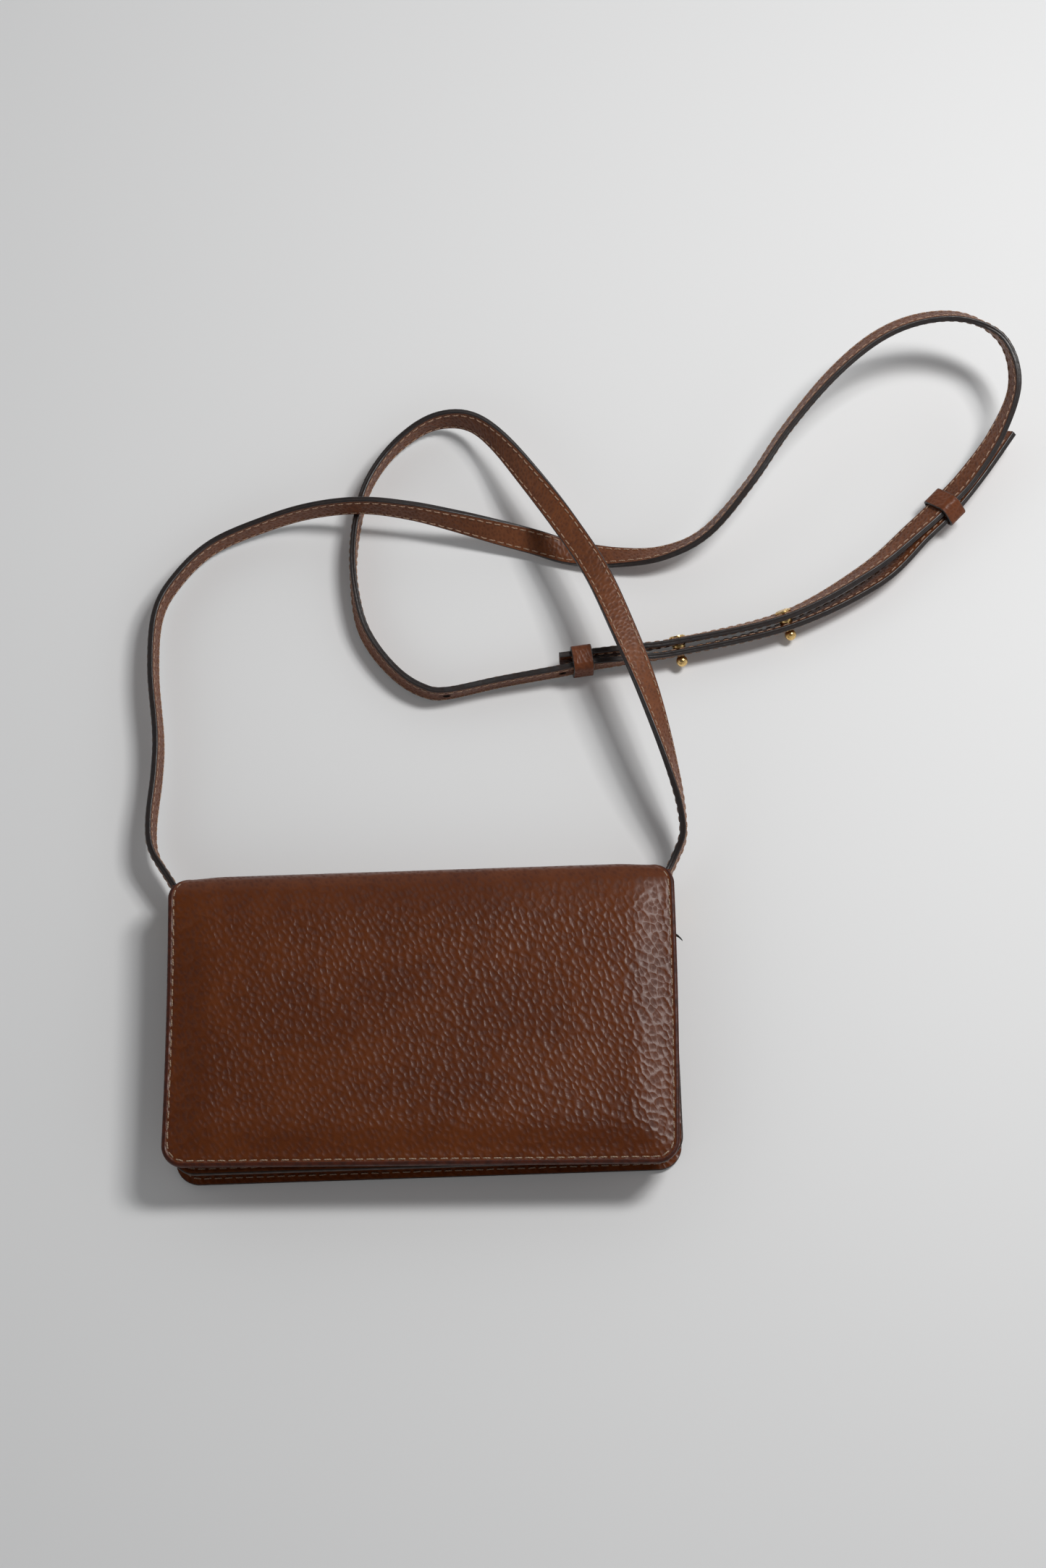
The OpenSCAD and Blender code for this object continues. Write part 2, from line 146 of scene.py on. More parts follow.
def smooth_line(route):
    """Points along a route, about a ring step apart, on one smooth curve through its points; the fourth
    number is how far the strap leans."""
    stops = [Vector(stop) for stop in route]
    last = len(stops) - 1
    line = []
    for i in range(last):
        a, b, c, d = stops[max(i - 1, 0)], stops[i], stops[i + 1], stops[min(i + 2, last)]
        count = round((c - b).xyz.length / RING_STEP)
        for u in (k / count for k in range(count)):
            line.append(0.5 * (2 * b + (c - a) * u + (2 * a - 5 * b + 4 * c - d) * u**2
                               + (3 * b - a - 3 * c + d) * u**3))
    return line + [stops[last]]


def strap_axes(line, i):
    """The strap's own directions at a point of its line: along it, out of its left face, up its width."""
    along = (line[min(i + 1, len(line) - 1)].xyz - line[max(i - 1, 0)].xyz).normalized()
    left = Vector((-along.y, along.x, 0)).normalized()
    across = along.cross(left)
    lean = math.radians(line[i].w)
    return (along, math.cos(lean) * left - math.sin(lean) * across,
            math.sin(lean) * left + math.cos(lean) * across)


def add_node(tree, kind, inputs=None, **settings):
    """A shader node. inputs maps a socket to its value, or to the output that feeds it."""
    made = tree.nodes.new(kind)
    for key, value in settings.items():
        setattr(made, key, value)
    for key, value in (inputs or {}).items():
        if isinstance(value, bpy.types.NodeSocket):
            tree.links.new(value, made.inputs[key])
        else:
            made.inputs[key].default_value = value
    return made


def new_group(name, inputs, outputs):
    """An empty node group with float sockets, and vector ones where the name is Vector."""
    group = bpy.data.node_groups.new(name, "ShaderNodeTree")
    for names, way in ((inputs, "INPUT"), (outputs, "OUTPUT")):
        for socket in names:
            kind = "NodeSocketVector" if socket == "Vector" else "NodeSocketFloat"
            group.interface.new_socket(socket, in_out=way, socket_type=kind)
    return group, group.nodes.new("NodeGroupInput").outputs, group.nodes.new("NodeGroupOutput").inputs


def scaled(tree, value, low, high, to_low=0.0, to_high=1.0):
    """value moved smoothly from one range to another."""
    return add_node(tree, "ShaderNodeMapRange", {0: value, 1: low, 2: high, 3: to_low, 4: to_high},
                    interpolation_type="SMOOTHSTEP").outputs[0]


def maths(tree, operation, a, b=0.0):
    return add_node(tree, "ShaderNodeMath", {0: a, 1: b}, operation=operation).outputs[0]


# Tumbled cowhide: soft pebbles drawn out along one slant, with fine creases between them and pores.
# Dimple_shade marks each cell's sunken middle, where the colour is darkened as painted shade
grain, given, wanted = new_group("pebbled_hide", ["Vector", "Pebbles"], ["Height", "Dimple_shade", "Tone"])
wander = add_node(grain, "ShaderNodeTexNoise", {"Vector": given["Vector"], "Scale": 260, "Detail": 2})
offset = add_node(grain, "ShaderNodeVectorMath", {0: wander.outputs["Color"], 1: (0.5, 0.5, 0.5)},
                  operation="SUBTRACT")
offset = add_node(grain, "ShaderNodeVectorMath", {0: offset.outputs[0], "Scale": 0.0016}, operation="SCALE")
moved = add_node(grain, "ShaderNodeVectorMath", {0: given["Vector"], 1: offset.outputs[0]})
slanted = add_node(grain, "ShaderNodeMapping", {"Vector": moved.outputs[0], "Rotation": (0, 0, 0.5),
                                               "Scale": (0.88, 1.3, 1)}, vector_type="TEXTURE")
tone = add_node(grain, "ShaderNodeTexVoronoi", {"Vector": slanted.outputs[0], "Scale": given["Pebbles"],
                                                "Randomness": 0.85},
                feature="F1", voronoi_dimensions="2D")
swelling = add_node(grain, "ShaderNodeTexVoronoi", {"Vector": slanted.outputs[0], "Scale": given["Pebbles"],
                                                    "Randomness": 0.85, "Smoothness": 0.35},
                    feature="SMOOTH_F1", voronoi_dimensions="2D")
dimple = add_node(grain, "ShaderNodeMapRange", {0: swelling.outputs["Distance"], 1: 0.05, 2: 0.8},
                  interpolation_type="SMOOTHSTEP")
pores = add_node(grain, "ShaderNodeTexNoise", {"Vector": given["Vector"], "Scale": 2600, "Detail": 3})
height = maths(grain, "ADD", dimple.outputs[0], maths(grain, "MULTIPLY", pores.outputs[0], 0.12))
grain.links.new(height, wanted["Height"])
# Dimple_shade is 1 in the sunken middle of each cell: painted shade darkens the colour there, and the face is
# rougher
grain.links.new(scaled(grain, swelling.outputs["Distance"], 0.1, 0.42, 1.0, 0.0), wanted["Dimple_shade"])
split = add_node(grain, "ShaderNodeSeparateColor", {0: tone.outputs["Color"]})
grain.links.new(split.outputs[0], wanted["Tone"])


def new_material(name, fixed=None):
    """A material, its node tree and its shader's sockets. fixed holds what is the same all over it."""
    material = bpy.data.materials.new(name)
    material.use_nodes = True
    sockets = material.node_tree.nodes["Principled BSDF"].inputs
    for key, value in (fixed or {}).items():
        sockets[key].default_value = value
    return material, material.node_tree, sockets


def tint(tree, sockets, share, colour, deep):
    """Colours a surface from colour, where share is 0, to deep."""
    mixed = add_node(tree, "ShaderNodeMix", {0: share, 6: (*colour, 1), 7: (*deep, 1)}, data_type="RGBA")
    tree.links.new(mixed.outputs[2], sockets["Base Color"])


def emboss(tree, sockets, height, distance, strength=1.0):
    """Makes a surface stand up by distance where height is 1."""
    bump = add_node(tree, "ShaderNodeBump", {"Height": height, "Distance": distance, "Strength": strength})
    tree.links.new(bump.outputs[0], sockets["Normal"])


def hide_material(name, colour, deep, relief, roughness, pebbles=420, folded=False):
    """Pigmented cowhide over the piece's flat place: pebbles, a painted shade darkening the sunken middle of
    each cell, and slow changes of tone. A folded one has its pebbles stretched flatter where it rolls over
    the fold."""
    material, tree, sockets = new_material(name, {"Specular IOR Level": 0.26})
    place = add_node(tree, "ShaderNodeAttribute", attribute_name="flat_place").outputs["Vector"]
    hide = add_node(tree, "ShaderNodeGroup", {"Vector": place, "Pebbles": pebbles}, node_tree=grain).outputs
    slow = add_node(tree, "ShaderNodeTexNoise", {"Vector": place, "Scale": 22, "Detail": 3})
    shade = maths(tree, "ADD", scaled(tree, slow.outputs[0], 0.35, 0.65, 0.0, 0.45),
                  maths(tree, "MULTIPLY", hide["Tone"], 0.3))
    # The sunken middles of the cells are darkened: painted shade
    shade = maths(tree, "ADD", shade, maths(tree, "MULTIPLY", hide["Dimple_shade"], 0.35))
    tint(tree, sockets, shade, colour, deep)
    rough = maths(tree, "ADD", roughness, maths(tree, "MULTIPLY", hide["Dimple_shade"], 0.2))
    tree.links.new(rough, sockets["Roughness"])
    strength = 1.0
    if folded:
        run = add_node(tree, "ShaderNodeSeparateXYZ", {0: place}).outputs["Y"]
        strength = scaled(tree, run, 0.092, 0.108, 1.0, 0.35)
    emboss(tree, sockets, hide["Height"], relief, strength)
    return material


def paint_material(name, colour, deep, roughness=0.38, shine=0.5):
    """Edge paint: a brushed-on coat with small runs and a soft shine."""
    material, tree, sockets = new_material(name, {"Specular IOR Level": shine})
    place = add_node(tree, "ShaderNodeTexCoord").outputs["Object"]
    runs = add_node(tree, "ShaderNodeTexNoise", {"Vector": place, "Scale": 420, "Detail": 3}).outputs[0]
    tint(tree, sockets, scaled(tree, runs, 0.3, 0.7), colour, deep)
    tree.links.new(scaled(tree, runs, 0.3, 0.7, roughness, roughness + 0.14), sockets["Roughness"])
    emboss(tree, sockets, runs, 0.00012)
    return material


def thread_material(name, colour, deep, shine=0.5):
    """Bonded polyester thread: two plies twisted together, seen as fine slanting ridges, with painted shade
    darkening the grooves between them.
    """
    material, tree, sockets = new_material(name, {"Roughness": 0.6, "Sheen Weight": 0.25,
                                                  "Specular IOR Level": shine})
    place = add_node(tree, "ShaderNodeTexCoord").outputs["Object"]
    plies = add_node(tree, "ShaderNodeTexWave", {"Vector": place, "Scale": 620, "Distortion": 1.5},
                     bands_direction="DIAGONAL").outputs["Fac"]
    # The colour darkens into the grooves between the plies and lightens on their tops: painted shade
    tint(tree, sockets, plies, deep, colour)
    emboss(tree, sockets, plies, 0.00006)
    return material


def piece(name, shape, *materials):
    """An object made from a finished bmesh, smooth except over sharp corners."""
    for edge in shape.edges:
        edge.smooth = edge.calc_face_angle(0) < SHARP
    for face in shape.faces:
        face.smooth = True
    mesh = bpy.data.meshes.new(name)
    shape.to_mesh(mesh)
    shape.free()
    for material in materials:
        mesh.materials.append(material)
    made = bpy.data.objects.new(name, mesh)
    bpy.context.scene.collection.objects.link(made)
    return made


def put(made, body, node):
    """Sets a finished piece on its body, in place of the node that it details."""
    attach(made, body)
    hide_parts(node)


def carried(shape, outlines):
    """A solid through closed outlines set one after another, closed at both ends. It gives back the corners
    of each outline."""
    rings, before = [], None
    for points in outlines:
        corners = [shape.verts.new(point) for point in points]
        edges = [shape.edges.new(pair) for pair in zip(corners, corners[1:] + corners[:1])]
        if before:
            bmesh.ops.bridge_loops(shape, edges=before + edges)
        else:
            shape.faces.new(corners)
        before = edges
        rings.append(corners)
    shape.faces.new(corners)
    bmesh.ops.recalc_face_normals(shape, faces=shape.faces)
    return rings


def strap_leather(name, line, materials):
    """One length of strap: its section carried along its line, closed at both ends."""
    over = STRAP_QUARTER + [(-w, t) for w, t in reversed(STRAP_QUARTER[:-1])]
    section = over + [(w, -t) for w, t in reversed(over[1:-1])]
    shape = bmesh.new()
    flat = shape.verts.layers.float_vector.new("flat_place")
    outlines = []
    for i, stop in enumerate(line):
        _, face, across = strap_axes(line, i)
        outlines.append([stop.xyz + w * across + t * face for w, t in section])
    travelled = 0
    for i, corners in enumerate(carried(shape, outlines)):
        travelled += (line[i].xyz - line[max(i - 1, 0)].xyz).length
        for corner, (w, t) in zip(corners, section):
            corner[flat] = (travelled, w + (BACK_GRAIN if t < 0 else 0), STRAP_HALF - abs(w))
    for skin in shape.faces:
        skin.material_index = all(STRAP_HALF - v[flat].z > PAINT_FROM for v in skin.verts)
    return piece(name, shape, *materials)


def thread_outline(middle, radius, sides):
    """The outline of a round thread that runs along X."""
    turns = [math.tau * k / sides for k in range(sides)]
    return [(middle[0], middle[1] + radius * math.cos(a), middle[2] + radius * math.sin(a)) for a in turns]


# One stitch, a metre long until it is placed: a round thread that dips into the leather at both ends
STITCH_STATIONS = [(-0.5, -0.00028), (-0.4, 0.00005), (-0.18, 0.00015), (0.18, 0.00015), (0.4, 0.00005),
                   (0.5, -0.00028)]
THREAD_R = 0.00026
THREAD_LIFT = 0.00112
shape = bmesh.new()
carried(shape, [thread_outline((x, 0, z), THREAD_R, 6) for x, z in STITCH_STATIONS])
stitch = bpy.data.meshes.new("stitch")
shape.to_mesh(stitch)
shape.free()

hand = random.Random(11)


def sew(name, rows, pitch, material):
    """Thread along rows of (point, way out) pairs, one stitch to each pitch, a little uneven."""
    thread = bmesh.new()
    for row in rows:
        walked = [0]
        for (a, _), (b, _) in zip(row, row[1:]):
            walked.append(walked[-1] + (b - a).length)
        count = int(walked[-1] / pitch)
        for k in range(count):
            ends = []
            for at in (pitch * (k + 0.13), pitch * (k + 0.87)):
                j = min(max(bisect_left(walked, at), 1), len(row) - 1)
                share = (at - walked[j - 1]) / (walked[j] - walked[j - 1])
                ends.append(row[j - 1][0].lerp(row[j][0], share))
            out = row[j][1]
            along = ends[1] - ends[0]
            side = out.cross(along).normalized()
            along += side * along.length * hand.uniform(-0.05, 0.09)
            place = Matrix((along, side, out)).transposed().to_4x4()
            place.translation = (ends[0] + ends[1]) / 2
            thread.from_mesh(stitch)
            thread.verts.ensure_lookup_table()
            bmesh.ops.transform(thread, matrix=place, verts=thread.verts[-len(stitch.vertices):])
    return piece(name, thread, material)


def strap_rows(line):
    """Four rows for a strap's thread, near both edges on both faces."""
    rows = []
    for side in (-1, 1):
        for seam in (-STRAP_SEAM, STRAP_SEAM):
            row = []
            for i in range(2, len(line) - 2):
                _, face, across = strap_axes(line, i)
                row.append((line[i].xyz + seam * across + side * THREAD_LIFT * face, side * face))
            rows.append(row)
    return rows


strap_hide = hide_material("strap_hide", (0.165, 0.052, 0.017), (0.078, 0.022, 0.0075), relief=0.00012,
                           roughness=0.42, pebbles=620)
strap_paint = paint_material("strap_edge_paint", (0.022, 0.014, 0.012), (0.009, 0.006, 0.006), 0.3)
strap_thread = thread_material("strap_thread", (0.40, 0.24, 0.15), (0.22, 0.12, 0.07))

long_line = smooth_line(LONG_ROUTE)
short_line = smooth_line(SHORT_ROUTE)
strap_long = strap_leather("strap_long_leather", long_line, [strap_hide, strap_paint])
strap_short = strap_leather("strap_short_leather", short_line, [strap_hide, strap_paint])
long_thread = sew("strap_long_thread", strap_rows(long_line), STRAP_PITCH, strap_thread)
short_thread = sew("strap_short_thread", strap_rows(short_line), STRAP_PITCH, strap_thread)
put(strap_long, "body", "strap_long")
put(strap_short, "body", "strap_short")
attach(long_thread, "body")
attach(short_thread, "body")


def punch(made, holes):
    """Cuts round holes through a piece, each given by its middle, its direction and its radius."""
    shape = bmesh.new()
    for middle, way, radius in holes:
        place = Matrix.Translation(middle) @ way.to_track_quat("Z", "Y").to_matrix().to_4x4()
        bmesh.ops.create_cone(shape, cap_ends=True, segments=28, radius1=radius, radius2=radius,
                              depth=1.5 * STRAP_THICK, matrix=place)
    for face in shape.faces:
        face.material_index = 1
    cutter = piece("punch", shape)
    modifier = made.modifiers.new("holes", "BOOLEAN")
    modifier.object = cutter
    modifier.operation = "DIFFERENCE"
    modifier.solver = "EXACT"
    cut = bpy.data.meshes.new_from_object(made.evaluated_get(bpy.context.evaluated_depsgraph_get()))
    made.modifiers.clear()
    shape = bmesh.new()
    shape.from_mesh(cut)
    for edge in shape.edges:
        edge.smooth = edge.calc_face_angle(0) < SHARP
    shape.to_mesh(made.data)
    shape.free()
    bpy.data.objects.remove(cutter)


long_stops = [Vector(stop) for stop in LONG_ROUTE]
short_stops = [Vector(stop) for stop in SHORT_ROUTE]
# From the middle of the long strap to the middle of the short one, where they lap
STRAP_LAP = 0.0042
SPARE_HOLES = (24, 26)
STUD_STOPS = (36, 35)
holes = [(short_stops[stop].xyz, strap_axes(short_stops, stop)[1], 0.0014) for stop in SPARE_HOLES]
for stop in STUD_STOPS:
    face = strap_axes(long_stops, stop)[1]
    holes.append((long_stops[stop].xyz - STRAP_LAP * face, face, 0.0016))
punch(strap_short, holes)


# ---- Keepers ----
# Two loops of the same leather, each one strip wrapped round both lengths of strap with its ends butted
# on the inner side. The fixed one is glued at the long strap's end, the other slides.
KEEPER_LENGTH = 0.008
KEEPER_WALL = 0.0012
KEEPER_BEND = 0.0022
KEEPER_WORN = 0.00035
# Where the middle of the strip's thickness runs: outside the long strap, outside the short one, and past
# both their edges
KEEPER_FAR = STRAP_THICK / 2 + 0.0006 + KEEPER_WALL / 2
KEEPER_NEAR = -STRAP_LAP - KEEPER_FAR
KEEPER_HALF = STRAP_HALF + 0.00075 + KEEPER_WALL / 2
# Each keeper's stop on the long strap's route, and the body that it rides
KEEPERS = {"keeper_fixed": (38, "body"), "keeper_sliding": (32, "keeper")}
EDGE_STATIONS = [0, 0.0001, 0.0003, 0.0006, 0.001, 0.0014, 0.0018, 0.0022, 0.0026, 0.003, 0.0036, 0.0046,
                 0.006, 0.0075, 0.0093, 0.0115]


def stations(length, high_edge=True, gap=0.0045):
    """Rows across a cut piece: close together near its cut edges and even between them."""
    first = [e for e in EDGE_STATIONS if e < length / 2.2]
    last = [length - e for e in reversed(first)] if high_edge else [length]
    run = last[0] - first[-1]
    count = math.ceil(run / gap)
    return first + [first[-1] + run * k / count for k in range(1, count)] + last


def columns_over(half, gap=0.0045):
    """Stations across a piece from one side edge to the other, about its middle."""
    return [x - half for x in stations(2 * half, gap=gap)]


def slab(columns, rows, lay, outer, inner):
    """A closed sheet of leather or cloth on a grid of stations. lay cuts it to its outline and says how far
    inside the edge each point is; outer and inner give the place of a point on its two faces."""
    shape = bmesh.new()
    bmesh.ops.create_grid(shape, x_segments=len(columns) - 1, y_segments=len(rows) - 1, size=1)
    flat = shape.verts.layers.float_vector.new("flat_place")
    for corner in shape.verts:
        column = round((corner.co.x + 1) / 2 * (len(columns) - 1))
        row = round((corner.co.y + 1) / 2 * (len(rows) - 1))
        corner[flat] = lay(columns[column], rows[row])
    copied = bmesh.ops.extrude_face_region(shape, geom=shape.faces[:])["geom"]
    under = {part for part in copied if isinstance(part, bmesh.types.BMVert)}
    for corner in shape.verts:
        corner.co = (inner if corner in under else outer)(*corner[flat])
    bmesh.ops.recalc_face_normals(shape, faces=shape.faces)
    return shape


def paint_edge(shape, reach=0.00062):
    """Gives the cut edge its coat of paint, which laps a little onto both faces."""
    flat = shape.verts.layers.float_vector["flat_place"]
    for face in shape.faces:
        face.material_index = max(corner[flat].z for corner in face.verts) < reach


def worn_round(inside, radius):
    """How far a rubbed-round edge has dropped below its face."""
    return radius - math.sqrt(radius**2 - max(radius - inside, 0)**2)


def on_loop(run):
    """The middle of the strip's thickness, and the way out of the loop, at a distance round it."""
    for k, ((y, z), (dy, dz)) in enumerate(KEEPER_TURNS):
        if run <= KEEPER_SIDES[k] or k == 4:
            return Vector((0, y + dy * run, z + dz * run)), Vector((0, -dz, dy))
        run -= KEEPER_SIDES[k]
        if run < CORNER_RUN:
            angle = run / KEEPER_BEND
            centre = Vector((0, y + dy * KEEPER_SIDES[k] + dz * KEEPER_BEND,
                             z + dz * KEEPER_SIDES[k] - dy * KEEPER_BEND))
            out = Vector((0, -dz, dy)) * math.cos(angle) + Vector((0, dy, dz)) * math.sin(angle)
            return centre + KEEPER_BEND * out, out
        run -= CORNER_RUN


def keeper_face(place, sense):
    """One face of the strip, wrapped round at its place on the strap."""
    def placed(x, run, inside):
        at, out = on_loop(run)
        height = KEEPER_WALL / 2 - worn_round(inside, KEEPER_WORN)
        return place @ (at + sense * height * out + Vector((x, 0, 0)))
    return placed


# The loop's straight runs, from the butt in the middle of one side round to it again: how long each is,
# where it starts and which way it goes
CORNER_RUN = KEEPER_BEND * math.pi / 2
across_run = KEEPER_FAR - KEEPER_NEAR - 2 * KEEPER_BEND
edge_run = 2 * (KEEPER_HALF - KEEPER_BEND)
KEEPER_SIDES = [across_run / 2, edge_run, across_run, edge_run, across_run / 2]
KEEPER_TURNS = [
    (((KEEPER_NEAR + KEEPER_FAR) / 2, KEEPER_HALF), (1, 0)),
    ((KEEPER_FAR, KEEPER_HALF - KEEPER_BEND), (0, -1)),
    ((KEEPER_FAR - KEEPER_BEND, -KEEPER_HALF), (-1, 0)),
    ((KEEPER_NEAR, KEEPER_BEND - KEEPER_HALF), (0, 1)),
    ((KEEPER_NEAR + KEEPER_BEND, KEEPER_HALF), (1, 0)),
]
around = sum(KEEPER_SIDES) + 4 * CORNER_RUN
columns = columns_over(KEEPER_LENGTH / 2, 0.001)
rows = [around * k / 90 for k in range(91)]
keeper_hide = hide_material("keeper_hide", (0.15, 0.040, 0.011), (0.08, 0.02, 0.006), relief=0.0001,
                            roughness=0.4, pebbles=620)
keepers = {}
for name, (stop, body) in KEEPERS.items():
    place = Matrix(strap_axes(long_stops, stop)).transposed().to_4x4()
    place.translation = long_stops[stop].xyz
    shape = slab(columns, rows, lambda x, run: (x, run, KEEPER_LENGTH / 2 - abs(x)),
                 keeper_face(place, 1), keeper_face(place, -1))
    paint_edge(shape, KEEPER_WORN)
    keepers[name] = piece(name + "_leather", shape, keeper_hide, strap_paint)
    put(keepers[name], body, name)


# ---- Studs, screws and rivets ----
# Turned and plated brass. Each ball stud stands on a collar between the two lengths, its ball through a
# hole in the short one, and a flat slotted screw holds it from behind; a rivet holds each strap end.
def metal_material(name, colour, deep, roughness):
    """Plated metal that has been handled: cloudy smears, and fine scratches that only catch the light."""
    material, tree, sockets = new_material(name, {"Metallic": 1})
    place = add_node(tree, "ShaderNodeTexCoord").outputs["Object"]
    smears = add_node(tree, "ShaderNodeTexNoise", {"Vector": place, "Scale": 500, "Detail": 3}).outputs[0]
    drawn = add_node(tree, "ShaderNodeMapping", {"Vector": place, "Scale": (1, 0.06, 0.4)})
    scratches = add_node(tree, "ShaderNodeTexNoise", {"Vector": drawn.outputs[0], "Scale": 9000, "Detail": 2})
    tint(tree, sockets, scaled(tree, smears, 0.35, 0.7), colour, deep)
    tree.links.new(scaled(tree, smears, 0.3, 0.75, roughness, roughness + 0.16), sockets["Roughness"])
    emboss(tree, sockets, scratches.outputs[0], 0.00001)
    return material


def refined(node, body, material, arris=0.00012):
    """A hard piece as designed, with its sharp arrises broken by a small bevel."""
    shape = bmesh.new()
    shape.from_mesh(frame["nodes"][node].data)
    bmesh.ops.remove_doubles(shape, verts=shape.verts, dist=0.000005)
    bmesh.ops.dissolve_limit(shape, angle_limit=math.radians(1), verts=shape.verts, edges=shape.edges)
    sharp = [e for e in shape.edges if e.calc_face_angle(0) > math.radians(40)]
    bmesh.ops.bevel(shape, geom=sharp, offset=arris, offset_type="OFFSET", segments=2, profile=0.5,
                    affect="EDGES", clamp_overlap=True, material=-1)
    made = piece(node + "_metal", shape, material)
    put(made, body, node)
    return made


gold = metal_material("polished_gold", (0.86, 0.60, 0.25), (0.62, 0.40, 0.15), 0.16)
studs = [refined(node, "body", gold)
         for node in ("ball_stud_1", "ball_stud_2", "stud_screw_1", "stud_screw_2")]
for node in ("rivet_left", "rivet_right"):
    refined(node, "body", gold)


# ---- Back panel ----
# The bag's one large piece of pebbled leather starts at the bottom of the back and runs up to the fold.
# This is its back half, as far as the middle of the spine; its edges are painted and sewn.
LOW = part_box("back_panel")[0].y
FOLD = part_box("spine_leather")[1].y
SPINE_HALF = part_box("spine_leather")[1].x
BODY_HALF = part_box("back_panel")[1].x
BODY_CORNER = 0.009
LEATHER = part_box("back_panel")[1].z
SPINE_MIDDLE = 0.01075
BACK_ROLL = 0.007
BACK_FLAT = FOLD - LOW - BACK_ROLL
BACK_RUN = BACK_FLAT + BACK_ROLL * math.pi / 2 + SPINE_MIDDLE - BACK_ROLL
SEAM_INSET = 0.0022
SEAM_PITCH = 0.0039
TOP_CORNER = 0.002
ROLL_ROWS = 14


def smooth(low, high, value):
    share = min(max((value - low) / (high - low), 0), 1)
    return share * share * (3 - 2 * share)


def laid(x, s, half, corner, length=None, width_at=None):
    """A station of a square grid moved onto a cut outline with round corners: x across, s up from the bottom
    edge, and the distance inside the edge. A piece with no length runs on over the fold."""
    head = length - s if length else math.inf
    radius, end, sense = (corner, s, 1) if s <= head else (TOP_CORNER, head, -1)
    side = half - abs(x)
    inside = min(side, end)
    if side < radius and end < radius:
        a, b = 1 - side / radius, 1 - end / radius
        a, b = a * math.sqrt(1 - b * b / 2), b * math.sqrt(1 - a * a / 2)
        inside = max(radius * (1 - math.hypot(a, b)), 0)
        x = math.copysign(half - radius * (1 - a), x)
        s += sense * (radius * (1 - b) - end)
    if width_at:
        x *= width_at(s) / half
    return x, s, inside


def rolled(s, flat_run, radius, level, sense, height):
    """Y and Z of leather that lies flat from the bottom edge, rolls through a quarter turn at the fold and
    goes straight on. height is measured out of its outer face."""
    angle = min(max((s - flat_run) / radius, 0), math.pi / 2)
    beyond = max(s - flat_run - radius * math.pi / 2, 0)
    y = LOW + min(s, flat_run) + (radius + height) * math.sin(angle)
    return y, level - sense * (radius - (radius + height) * math.cos(angle) + beyond)


def drawn_in(y, half, narrow):
    """The half width where the leather is drawn in round its top corners towards the spine."""
    radius = half - narrow
    past = min(max(y - (FOLD - radius), 0), radius)
    return narrow + math.sqrt(radius**2 - past**2)


def back_width(s):
    return drawn_in(rolled(s, BACK_FLAT, BACK_ROLL, 0, -1, 0)[0], BODY_HALF, SPINE_HALF)


def back_face(x, s, inside, lift=0.0):
    """The outer face: flat on the table, eased at the edge and pressed in along the seam."""
    pressed = 0.00022 * math.exp(-((inside - SEAM_INSET) / 0.0005)**2)
    height = lift - worn_round(inside, 0.0005) - pressed - 0.0002 * (1 - smooth(0.001, 0.004, inside))
    return Vector((x, *rolled(s, BACK_FLAT, BACK_ROLL, 0, -1, height)))


def back_flesh(x, s, inside):
    return Vector((x, *rolled(s, BACK_FLAT, BACK_ROLL, 0, -1, -LEATHER)))


def over_fold(flat_run, whole_run, steps=ROLL_ROWS, gap=0.0045):
    """Rows up a piece with one cut edge, at its bottom, which goes on over the fold."""
    over = [flat_run + (whole_run - flat_run) * k / steps for k in range(1, steps + 1)]
    return stations(flat_run, high_edge=False, gap=gap) + over


def seam_stations(half, corner, top, width_at=None):
    """Where a seam runs: down one side, round the bottom corners and up the other side."""
    turn = corner - SEAM_INSET
    down = [top - (top - corner) * k / 80 for k in range(80)]
    points = [(-(width_at(s) if width_at else half) + SEAM_INSET, s) for s in down]
    for centre, start in ((-half + corner, 180), (half - corner, 270)):
        angles = [math.radians(start + 90 * k / 8) for k in range(9)]
        points += [(centre + turn * math.cos(a), corner + turn * math.sin(a)) for a in angles]
    return points + [((width_at(s) if width_at else half) - SEAM_INSET, s) for s in reversed(down)]


def seam_row(face, points):
    """A row for thread over a face: each point with the way out of the leather."""
    row = []
    for x, s in points:
        at = face(x, s, SEAM_INSET)
        row.append((at, (face(x, s, SEAM_INSET, 0.001) - at).normalized()))
    return row


SADDLE = {"colour": (0.119, 0.0288, 0.0056), "deep": (0.066, 0.0140, 0.0030), "relief": 0.00018,
          "roughness": 0.34}
bag_hide = hide_material("pebbled_saddle_hide", **SADDLE)
fold_hide = hide_material("pebbled_fold_hide", folded=True, **SADDLE)
bag_paint = paint_material("red_brown_edge_paint", (0.066, 0.014, 0.006), (0.034, 0.008, 0.004), shine=0.2)
# Edge paint for the body's rims, darker than the flap's: its darkness is painted shade for the flap's shadow
# over them
shaded_body_paint = paint_material("body_edge_paint_painted_shade", (0.030, 0.014, 0.009), (0.014, 0.007, 0.005), shine=0.25)
bag_thread = thread_material("bag_thread", (0.36, 0.245, 0.165), (0.2, 0.125, 0.075))
# A darker copy of the bag thread for the body's rims under the flap: its darkness is painted shade for the
# flap's shadow
shaded_rim_thread = thread_material("shaded_rim_thread", (0.20, 0.12, 0.075), (0.11, 0.065, 0.04))

shape = slab(columns_over(BODY_HALF), over_fold(BACK_FLAT, BACK_RUN),
             lambda x, s: laid(x, s, BODY_HALF, BODY_CORNER, width_at=back_width), back_face, back_flesh)
paint_edge(shape)
back = piece("back_leather", shape, fold_hide, shaded_body_paint)
row = seam_row(back_face, seam_stations(BODY_HALF, BODY_CORNER, 0.100))
back_thread = sew("back_thread", [row], SEAM_PITCH, bag_thread)
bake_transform(back)
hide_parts("back_panel", "spine_leather")
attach(back_thread, "body")


